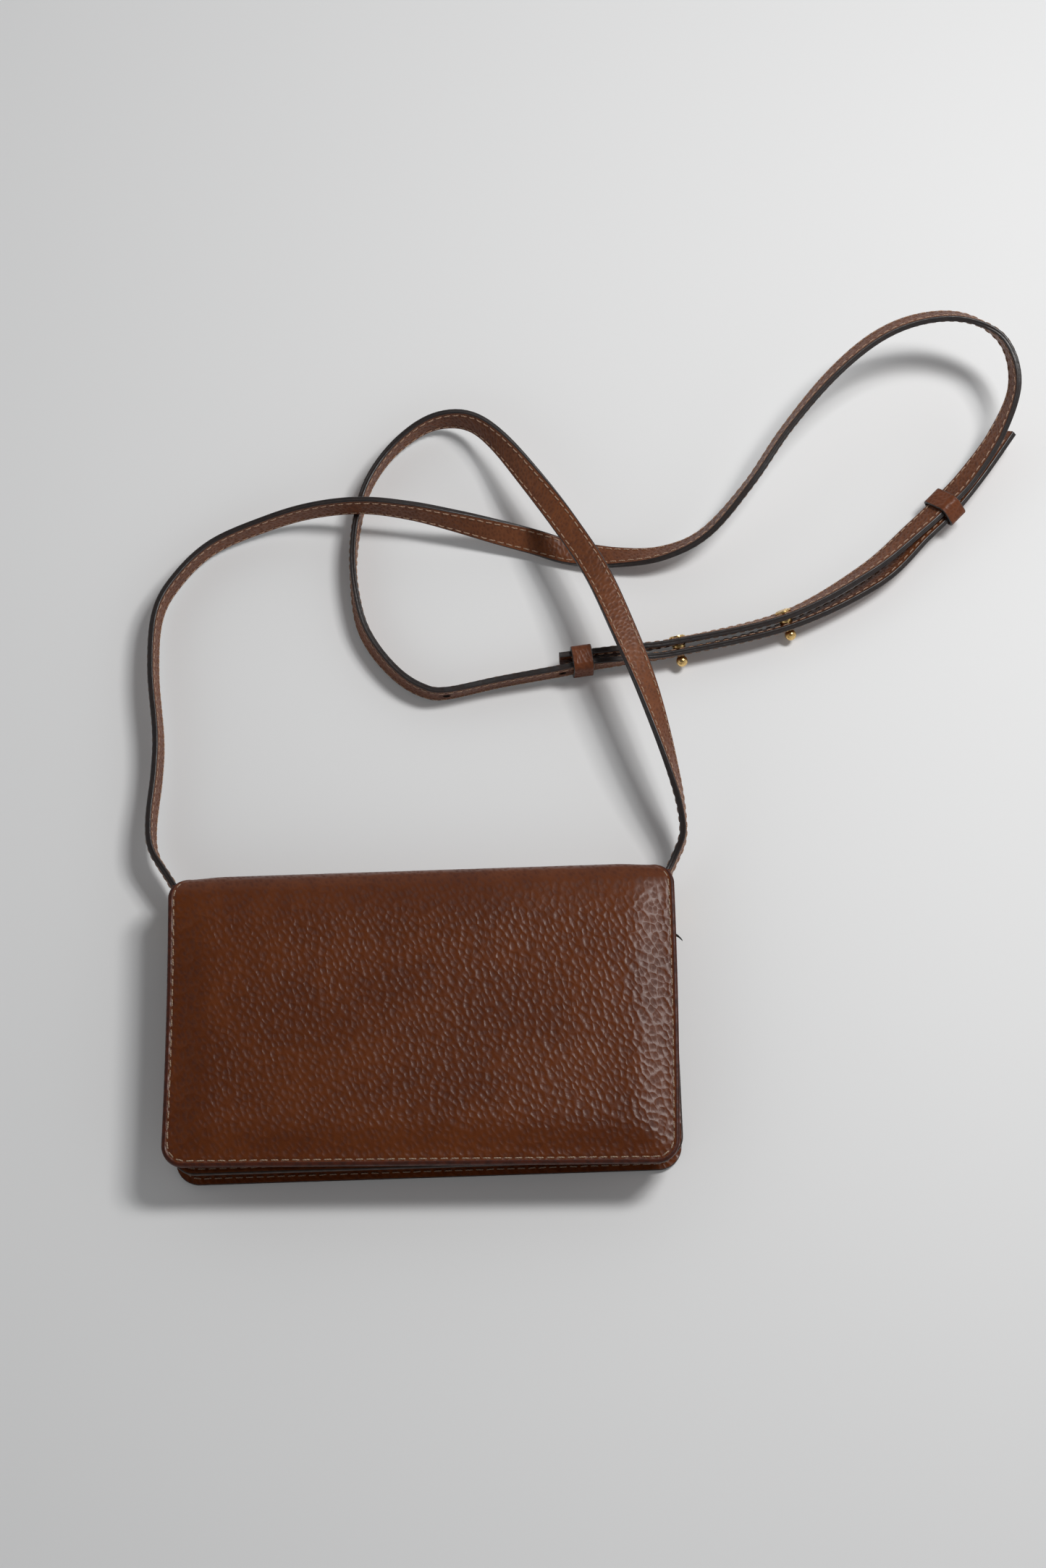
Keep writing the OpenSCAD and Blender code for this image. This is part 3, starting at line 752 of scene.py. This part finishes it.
# ---- Linings and boards ----
# Woven tan cloth glued over thin leather board. The back lining goes on up the inside of the spine, and
# each board stops short of the edges so that they stay thin enough to sew.
weave, given, wanted = new_group("woven_cloth", ["Vector", "Threads"], ["Height", "Slub"])
run = add_node(weave, "ShaderNodeVectorMath", {0: given["Vector"], "Scale": given["Threads"]},
               operation="SCALE")
split = add_node(weave, "ShaderNodeSeparateXYZ", {0: run.outputs[0]})
warp = maths(weave, "SINE", split.outputs["X"])
weft = maths(weave, "SINE", split.outputs["Y"])
weave.links.new(maths(weave, "MULTIPLY", warp, weft), wanted["Height"])
slub = add_node(weave, "ShaderNodeTexNoise", {"Vector": given["Vector"], "Scale": 700, "Detail": 2})
weave.links.new(slub.outputs[0], wanted["Slub"])


def cloth_material(name, colour, deep, threads=9000):
    """A fine plain weave with a little slub, over the piece's flat place."""
    material, tree, sockets = new_material(name, {"Roughness": 0.85, "Sheen Weight": 0.2})
    place = add_node(tree, "ShaderNodeAttribute", attribute_name="flat_place").outputs["Vector"]
    cloth = add_node(tree, "ShaderNodeGroup", {"Vector": place, "Threads": threads}, node_tree=weave).outputs
    shade = maths(tree, "ADD", maths(tree, "MULTIPLY", cloth["Height"], 0.18),
                  scaled(tree, cloth["Slub"], 0.3, 0.7))
    tint(tree, sockets, shade, colour, deep)
    emboss(tree, sockets, cloth["Height"], 0.00008)
    return material


def flat_piece(name, node, materials, corner=0.004, top=None):
    """A flat piece on its designed place, its edges rubbed round. top shortens it."""
    low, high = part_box(node)
    if top:
        high.y = top
    half, length, centre = (high.x - low.x) / 2, high.y - low.y, (high.x + low.x) / 2
    round_off = (high.z - low.z) * 0.42

    def front(x, s, inside, lift=0.0):
        return Vector((centre + x, low.y + s, high.z - worn_round(inside, round_off) + lift))

    def rear(x, s, inside):
        return Vector((centre + x, low.y + s, low.z + worn_round(inside, round_off)))

    shape = slab(columns_over(half), stations(length), lambda x, s: laid(x, s, half, corner, length),
                 front, rear)
    paint_edge(shape, THIN_PAINT)
    made = piece(name, shape, *materials)
    put(made, frame["nodes"][node]["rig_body"], node)
    return made, front


lining_cloth = cloth_material("tan_lining_cloth", (0.34, 0.20, 0.11), (0.23, 0.13, 0.07))
board_stock = cloth_material("bonded_board", (0.30, 0.23, 0.16), (0.2, 0.15, 0.1), 2500)
LINING = 0.0005
BOARD = 0.0005
THIN_PAINT = 0.00035
INNER_CORNER = 0.004
INNER_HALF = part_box("back_lining")[1].x
INNER_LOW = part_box("back_lining")[0].y
INNER_UP = INNER_LOW - LOW


def back_lining_depth(s):
    """How deep under the outer face the back lining lies: the board ends before the roll."""
    return LEATHER + BOARD * (1 - smooth(BACK_FLAT - 0.004, BACK_FLAT, s + INNER_UP))


def back_lining_face(sense):
    def placed(x, s, inside, lift=0.0):
        depth = back_lining_depth(s) + (LINING if sense > 0 else 0)
        return Vector((x, *rolled(s + INNER_UP, BACK_FLAT, BACK_ROLL, 0, -1, -depth - lift)))
    return placed


def back_lining_width(s):
    y = rolled(s + INNER_UP, BACK_FLAT, BACK_ROLL, 0, -1, 0)[0]
    return drawn_in(y, INNER_HALF, SPINE_HALF)


shape = slab(columns_over(INNER_HALF), over_fold(BACK_FLAT - INNER_UP, BACK_RUN - INNER_UP),
             lambda x, s: laid(x, s, INNER_HALF, INNER_CORNER, width_at=back_lining_width),
             back_lining_face(1), back_lining_face(-1))
back_lining = piece("back_lining_cloth", shape, lining_cloth)
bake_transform(back_lining)
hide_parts("back_lining", "spine_lining")
flat_piece("back_stiffener", "back_board", [board_stock, board_stock], top=0.049)


# ---- Gusset ----
# The side wall is one strip of leather that runs down one side, along the bottom and up the other. Its
# two edges are turned out and sewn to the panels, and its middle sinks in a little between them.
GUSSET_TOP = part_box("gusset")[1].y
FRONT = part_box("front_panel")[0].z
# The strip's section round both faces: distance inside the panels' edge, and height
GUSSET_SECTION = [
    (0.0001, 0.0014), (0, 0.00175), (0.0001, 0.0021), (0.0019, 0.0022), (0.0034, 0.00223), (0.0042, 0.0025),
    (0.0046, 0.0032), (0.0048, 0.0046), (0.00515, 0.007), (0.0053, 0.0094), (0.00515, 0.0118),
    (0.0048, 0.0142), (0.0046, 0.0156), (0.0042, 0.0163), (0.0034, 0.01657), (0.0019, 0.0166),
    (0.0001, 0.0167), (0, 0.01705), (0.0001, 0.0174), (0.003, 0.01748), (0.0049, 0.0172), (0.0057, 0.0162),
    (0.0060, 0.0142), (0.00635, 0.0118), (0.0065, 0.0094), (0.00635, 0.007), (0.0060, 0.0046),
    (0.0057, 0.0026), (0.0049, 0.0016), (0.003, 0.00132),
]
# Between these heights the strip is held by neither seam
GUSSET_LOOSE = (0.003, 0.0155)
# The two sewn flanges' inner faces
FLANGES = (0.0022, 0.0166)
# Its grain is read this far from the panels', so that they differ
GUSSET_GRAIN = 0.3


def gusset_stations():
    """Points along the panels' edge from one top end round to the other, with the way out of the bag."""
    side = [GUSSET_TOP - LOW - (GUSSET_TOP - LOW - BODY_CORNER) * k / 36 for k in range(36)]
    stops = [(-BODY_HALF, s, -1, 0) for s in side]
    for centre, start in ((-BODY_HALF + BODY_CORNER, 180), (BODY_HALF - BODY_CORNER, 270)):
        for a in (math.radians(start + 90 * k / 10) for k in range(11)):
            stops.append((centre + BODY_CORNER * math.cos(a), BODY_CORNER * (1 + math.sin(a)),
                          math.cos(a), math.sin(a)))
        if centre < 0:
            span = 2 * (BODY_HALF - BODY_CORNER)
            stops += [(centre + span * k / 48, 0, 0, -1) for k in range(1, 48)]
    stops += [(BODY_HALF, s, 1, 0) for s in reversed(side)]
    return [(Vector((x, LOW + s, 0)), Vector((out_x, out_y, 0))) for x, s, out_x, out_y in stops]


def gusset_outline(edge, out, walked):
    """The strip's section at one point of the edge. Its middle sinks in a little unevenly."""
    spots = []
    for deep, z in GUSSET_SECTION:
        loose = GUSSET_LOOSE[0] < z < GUSSET_LOOSE[1]
        sag = 0.0004 * math.sin(walked * 60) * math.sin(math.pi * z / FRONT) if loose else 0
        spots.append(edge - (deep + sag) * out + Vector((0, 0, z)))
    return spots


shape = bmesh.new()
flat = shape.verts.layers.float_vector.new("flat_place")
edge_stops = gusset_stations()
runs = [0]
for (a, _), (b, _) in zip(edge_stops, edge_stops[1:]):
    runs.append(runs[-1] + (b - a).length)
outlines = [gusset_outline(edge, out, walked) for (edge, out), walked in zip(edge_stops, runs)]
for walked, corners in zip(runs, carried(shape, outlines)):
    around = GUSSET_GRAIN
    for k, corner in enumerate(corners):
        around += (corner.co - corners[k - 1].co).length if k else 0
        corner[flat] = (walked, around, GUSSET_SECTION[k][0])
for face in shape.faces:
    face.material_index = max(corner[flat].z for corner in face.verts) < 0.0002 or len(face.verts) > 4
put(piece("gusset_leather", shape, bag_hide, shaded_body_paint), "body", "gusset")


def flange_face(z, sense):
    return lambda x, s, inside, lift=0.0: Vector((x, LOW + s, z + sense * lift))


seam = seam_stations(BODY_HALF, BODY_CORNER, GUSSET_TOP - LOW - 0.002)
rows = [seam_row(flange_face(FLANGES[0], 1), seam), seam_row(flange_face(FLANGES[1], -1), seam)]
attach(sew("gusset_thread", rows, SEAM_PITCH, shaded_rim_thread), "body")


# ---- Card slots ----
# Six pockets of thin smooth leather in two columns on the back lining, each with a creased top edge, and
# sewn down both sides where it shows above the next one.
slot_hide = hide_material("smooth_slot_hide", (0.235, 0.092, 0.038), (0.15, 0.055, 0.023), relief=0.00004,
                          roughness=0.5, pebbles=900)
SLOT_CORNER = 0.002
SLOT_INSET = 0.0015
SLOT_PITCH = 0.0032
tops = [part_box(f"card_slot_{n}")[1].y for n in (1, 2, 3)]
for column in (0, 1):
    rows = []
    for tier in (0, 1, 2):
        number = column * 3 + tier + 1
        made, front = flat_piece(f"card_pocket_{number}", f"card_slot_{number}",
                                 [slot_hide, shaded_body_paint], SLOT_CORNER)
        low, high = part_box(f"card_slot_{number}")
        half = (high.x - low.x) / 2
        foot = tops[tier + 1] - low.y if tier < 2 else SLOT_CORNER
        stretch = [foot + (high.y - low.y - 0.001 - foot) * k / 12 for k in range(13)]
        rows += [seam_row(front, [(side * (half - SLOT_INSET), s) for s in stretch]) for side in (-1, 1)]
    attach(sew(f"card_pocket_thread_{column + 1}", rows, SLOT_PITCH, bag_thread), "body")


# ---- Zip pocket ----
# Two cloth panels joined by a closed metal zip. Each tape is woven, the teeth are stamped brass clamped
# on in turn from both sides, and the slider carries a small tapered pull.
flat_piece("zip_pocket_rear_cloth", "zip_pocket_rear", [lining_cloth, lining_cloth])
flat_piece("zip_pocket_front_cloth", "zip_pocket_front", [lining_cloth, lining_cloth])
tape_cloth = cloth_material("zip_tape_cloth", (0.095, 0.048, 0.026), (0.05, 0.026, 0.015), 5200)
for node in ("zip_tape_rear", "zip_tape_front"):
    flat_piece(node + "_cloth", node, [tape_cloth, tape_cloth], 0.0008)

zip_brass = metal_material("zip_brass", (0.80, 0.58, 0.27), (0.60, 0.42, 0.18), 0.24)
low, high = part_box("zip_teeth")
TOOTH_PITCH = 0.002
TOOTH = (0.0017, 0.002, 0.0009)
shape = bmesh.new()
for k in range(round((high.x - low.x) / TOOTH_PITCH)):
    upper = k % 2
    place = Matrix.Translation((low.x + TOOTH_PITCH * (k + 0.43), (low.y + high.y) / 2,
                                low.z + TOOTH[2] / 2 + 0.0005 * upper))
    tooth = bmesh.ops.create_cube(shape, size=1, matrix=place @ Matrix.Diagonal((*TOOTH, 1)))
    edges = {edge for corner in tooth["verts"] for edge in corner.link_edges}
    bmesh.ops.bevel(shape, geom=list(edges), offset=0.0002, offset_type="OFFSET", segments=1, profile=0.5,
                    affect="EDGES", material=-1)
put(piece("zip_teeth_brass", shape, zip_brass), "body", "zip_teeth")
refined("zip_stops", "body", zip_brass)
refined("zip_slider", "zip_slider", zip_brass)
refined("zip_pull", "zip_pull", zip_brass)


# ---- Front panel ----
# A plain panel of the same leather, lined and stiffened, with the lower half of a magnetic snap riveted
# through it under the flap.
flat_piece("front_lining_cloth", "front_lining", [lining_cloth, lining_cloth])
flat_piece("front_stiffener", "front_board", [board_stock, board_stock])
low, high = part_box("front_panel")
front_length = high.y - low.y


def front_face(x, s, inside, lift=0.0):
    pressed = 0.0002 * math.exp(-((inside - SEAM_INSET) / 0.0005)**2)
    swell = 0.0003 * smooth(0.003, 0.016, inside)
    return Vector((x, LOW + s, high.z - worn_round(inside, 0.0006) - pressed + swell + lift))


def front_flesh(x, s, inside):
    return Vector((x, LOW + s, low.z))


shape = slab(columns_over(BODY_HALF), stations(front_length),
             lambda x, s: laid(x, s, BODY_HALF, BODY_CORNER, front_length), front_face, front_flesh)
paint_edge(shape)
put(piece("front_leather", shape, bag_hide, shaded_body_paint), "body", "front_panel")
seam = seam_stations(BODY_HALF, BODY_CORNER, front_length - SEAM_INSET)
step = 0.0015
across_top = [(BODY_HALF - SEAM_INSET - step * k, front_length - SEAM_INSET)
              for k in range(round(2 * (BODY_HALF - SEAM_INSET) / step))]
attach(sew("front_thread", [seam_row(front_face, seam), seam_row(front_face, across_top)],
            SEAM_PITCH, shaded_rim_thread), "body")

snap_brass = metal_material("satin_snap_brass", (0.78, 0.57, 0.28), (0.6, 0.42, 0.2), 0.3)
refined("snap_socket", "body", snap_brass, 0.00015)
refined("snap_socket_washer", "body", snap_brass, 0.0001)


# ---- Flap ----
# The front half of the large piece of leather: from the middle of the spine it rolls over the top and
# covers the whole front. A thin board inside stops short of the edge, so the face stands up over it and
# drops to the sewn edge, which is painted red-brown. It hangs a degree or so askew.
FLAP_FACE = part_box("flap_leather")[1].z
FLAP_HALF = 0.0955
FLAP_CORNER = 0.0085
FLAP_ROLL = 0.009
FLAP_FLAT = FOLD - LOW - FLAP_ROLL
FLAP_RUN = FLAP_FLAT + FLAP_ROLL * math.pi / 2 + FLAP_FACE - FLAP_ROLL - SPINE_MIDDLE
FLAP_TURN = math.radians(1.4)
FLAP_LEATHER = 0.0014
FLAP_EDGE = 0.002
FLAP_PAINT = 0.00145
SWELL = 0.0021


def askew(x, y, z):
    """The flap hangs a little askew, more and more towards its bottom edge."""
    reach = min(max((FOLD - y) / (FOLD - LOW), 0), 1)
    cos, sin = math.cos(FLAP_TURN * reach), math.sin(FLAP_TURN * reach)
    return Vector((x * cos - (FOLD - y) * sin, FOLD - (FOLD - y) * cos - x * sin, z))


def flap_width(s):
    return drawn_in(rolled(s, FLAP_FLAT, FLAP_ROLL, 0, 1, 0)[0], FLAP_HALF, SPINE_HALF)


def flap_face(x, s, inside, lift=0.0):
    """The outer face, raised over the board, pressed in along the seam and softly uneven."""
    flat = 1 - smooth(FLAP_FLAT - 0.012, FLAP_FLAT + 0.004, s)
    pressed = 0.00025 * math.exp(-((inside - SEAM_INSET) / 0.00055)**2)
    swell = SWELL * smooth(0.0028, 0.0155, inside) * (0.3 + 0.7 * flat)
    uneven = 0.00022 * math.sin(46 * x + 1.1) * math.sin(61 * s + 0.4) + 0.00012 * math.sin(90 * x - 70 * s)
    height = swell - worn_round(inside, 0.001) - pressed + uneven * smooth(0.006, 0.03, inside) * flat
    return askew(x, *rolled(s, FLAP_FLAT, FLAP_ROLL, FLAP_FACE, 1, height + lift))


def flap_flesh(x, s, inside):
    turned_down = (1 - smooth(0.0042, 0.0055, inside)) * (1 - smooth(FLAP_FLAT - 0.005, FLAP_FLAT, s))
    depth = FLAP_LEATHER + (FLAP_EDGE - FLAP_LEATHER) * turned_down
    return askew(x, *rolled(s, FLAP_FLAT, FLAP_ROLL, FLAP_FACE, 1, -depth))


def flap_lining_face(sense):
    """The lining's two faces, close under the leather; the inner one carries the thread."""
    def placed(x, s, inside, lift=0.0):
        depth = FLAP_LEATHER + (FLAP_EDGE - FLAP_LEATHER) * (1 - smooth(FLAP_FLAT - 0.005, FLAP_FLAT, s))
        if sense > 0:
            depth += LINING - worn_round(inside, 0.0003)
        return askew(x, *rolled(s, FLAP_FLAT, FLAP_ROLL, FLAP_FACE, 1, -depth - lift))
    return placed


def lay_flap(x, s):
    return laid(x, s, FLAP_HALF, FLAP_CORNER, width_at=flap_width)


columns = columns_over(FLAP_HALF, 0.0035)
rows = over_fold(FLAP_FLAT, FLAP_RUN, 20, 0.0035)
shape = slab(columns, rows, lay_flap, flap_face, flap_flesh)
paint_edge(shape, FLAP_PAINT)
flap = piece("flap_leather_face", shape, fold_hide, bag_paint)
shape = slab(columns, rows, lay_flap, flap_lining_face(-1), flap_lining_face(1))
paint_edge(shape, THIN_PAINT)
flap_lining = piece("flap_lining_cloth", shape, lining_cloth, bag_paint)
seam = seam_stations(FLAP_HALF, FLAP_CORNER, FLAP_FLAT + 0.007, width_at=flap_width)
flap_thread = sew("flap_thread", [seam_row(flap_face, seam)], SEAM_PITCH, bag_thread)
lining_thread = sew("flap_lining_thread", [seam_row(flap_lining_face(1), seam)], SEAM_PITCH, bag_thread)
for made in (flap, flap_lining, flap_thread, lining_thread):
    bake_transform(made)
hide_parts("flap_leather")
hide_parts("flap_lining")

# A tapered end of dark thread stands out of the right edge where the seam was finished off
tail = []
for k in range(7):
    middle = askew(FLAP_HALF - 0.0012 + 0.00058 * k, 0.0283 - 0.00006 * k * k,
                   FLAP_FACE - 0.0010 - 0.0002 * k)
    tail.append(thread_outline(middle, 0.00075 - 0.00007 * k, 8))
shape = bmesh.new()
carried(shape, tail)
dark_thread = thread_material("dark_thread", (0.016, 0.013, 0.008), (0.008, 0.006, 0.004), shine=0.1)
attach(piece("flap_thread_end", shape, dark_thread), "flap")
flat_piece("flap_stiffener", "flap_board", [board_stock, board_stock], top=0.047)
refined("snap_stud", "flap", snap_brass, 0.00015)
refined("snap_stud_washer", "flap", snap_brass, 0.0001)


# ---- Stage ----
# A plain pale table top, two small soft lights at the upper right, and a pale room with a dark ceiling.
shape = bmesh.new()
bmesh.ops.create_grid(shape, x_segments=1, y_segments=1, size=3)
bmesh.ops.translate(shape, vec=(0, 0, -0.0004), verts=shape.verts)
table_top, _, _ = new_material("table_top", {"Base Color": (0.80, 0.80, 0.80, 1), "Roughness": 0.7})
piece("table", shape, table_top)
WINDOW_SIZE = 0.2
WINDOW_AIM = Vector((0.05, 0.1, 0))


def window(name, place, power, colour):
    """A square soft light that faces the middle of the table."""
    data = bpy.data.lights.new(name, "AREA")
    data.size = WINDOW_SIZE
    data.energy = power
    data.color = colour
    light = bpy.data.objects.new(name, data)
    light.location = place
    light.rotation_euler = (WINDOW_AIM - Vector(place)).to_track_quat("-Z", "Y").to_euler()
    bpy.context.scene.collection.objects.link(light)


window("window_low", (0.58, 0.33, 0.84), 3.9, (1.0, 0.995, 0.985))
window("window_high", (0.48, 0.42, 1.02), 3.6, (0.99, 0.995, 1.0))
# The room: pale walls all round, a little lighter at the left, and a dark ceiling overhead
world = bpy.data.worlds.new("room")
world.use_nodes = True
tree = world.node_tree
direction = add_node(tree, "ShaderNodeTexCoord").outputs["Generated"]
split = add_node(tree, "ShaderNodeSeparateXYZ", {0: direction})
leftward = add_node(tree, "ShaderNodeVectorMath", {0: direction, 1: (-0.85, -0.5, 0)},
                    operation="DOT_PRODUCT")
walls = scaled(tree, leftward.outputs["Value"], -1, 1, 0.54, 0.58)
tree.links.new(maths(tree, "MULTIPLY", walls, scaled(tree, split.outputs["Z"], 0.5, 0.88, 1.0, 0.12)),
               tree.nodes["Background"].inputs["Strength"])
tree.nodes["Background"].inputs["Color"].default_value = (0.98, 0.99, 1.0, 1)
bpy.context.scene.world = world
bpy.context.scene.view_settings.view_transform = "Standard"
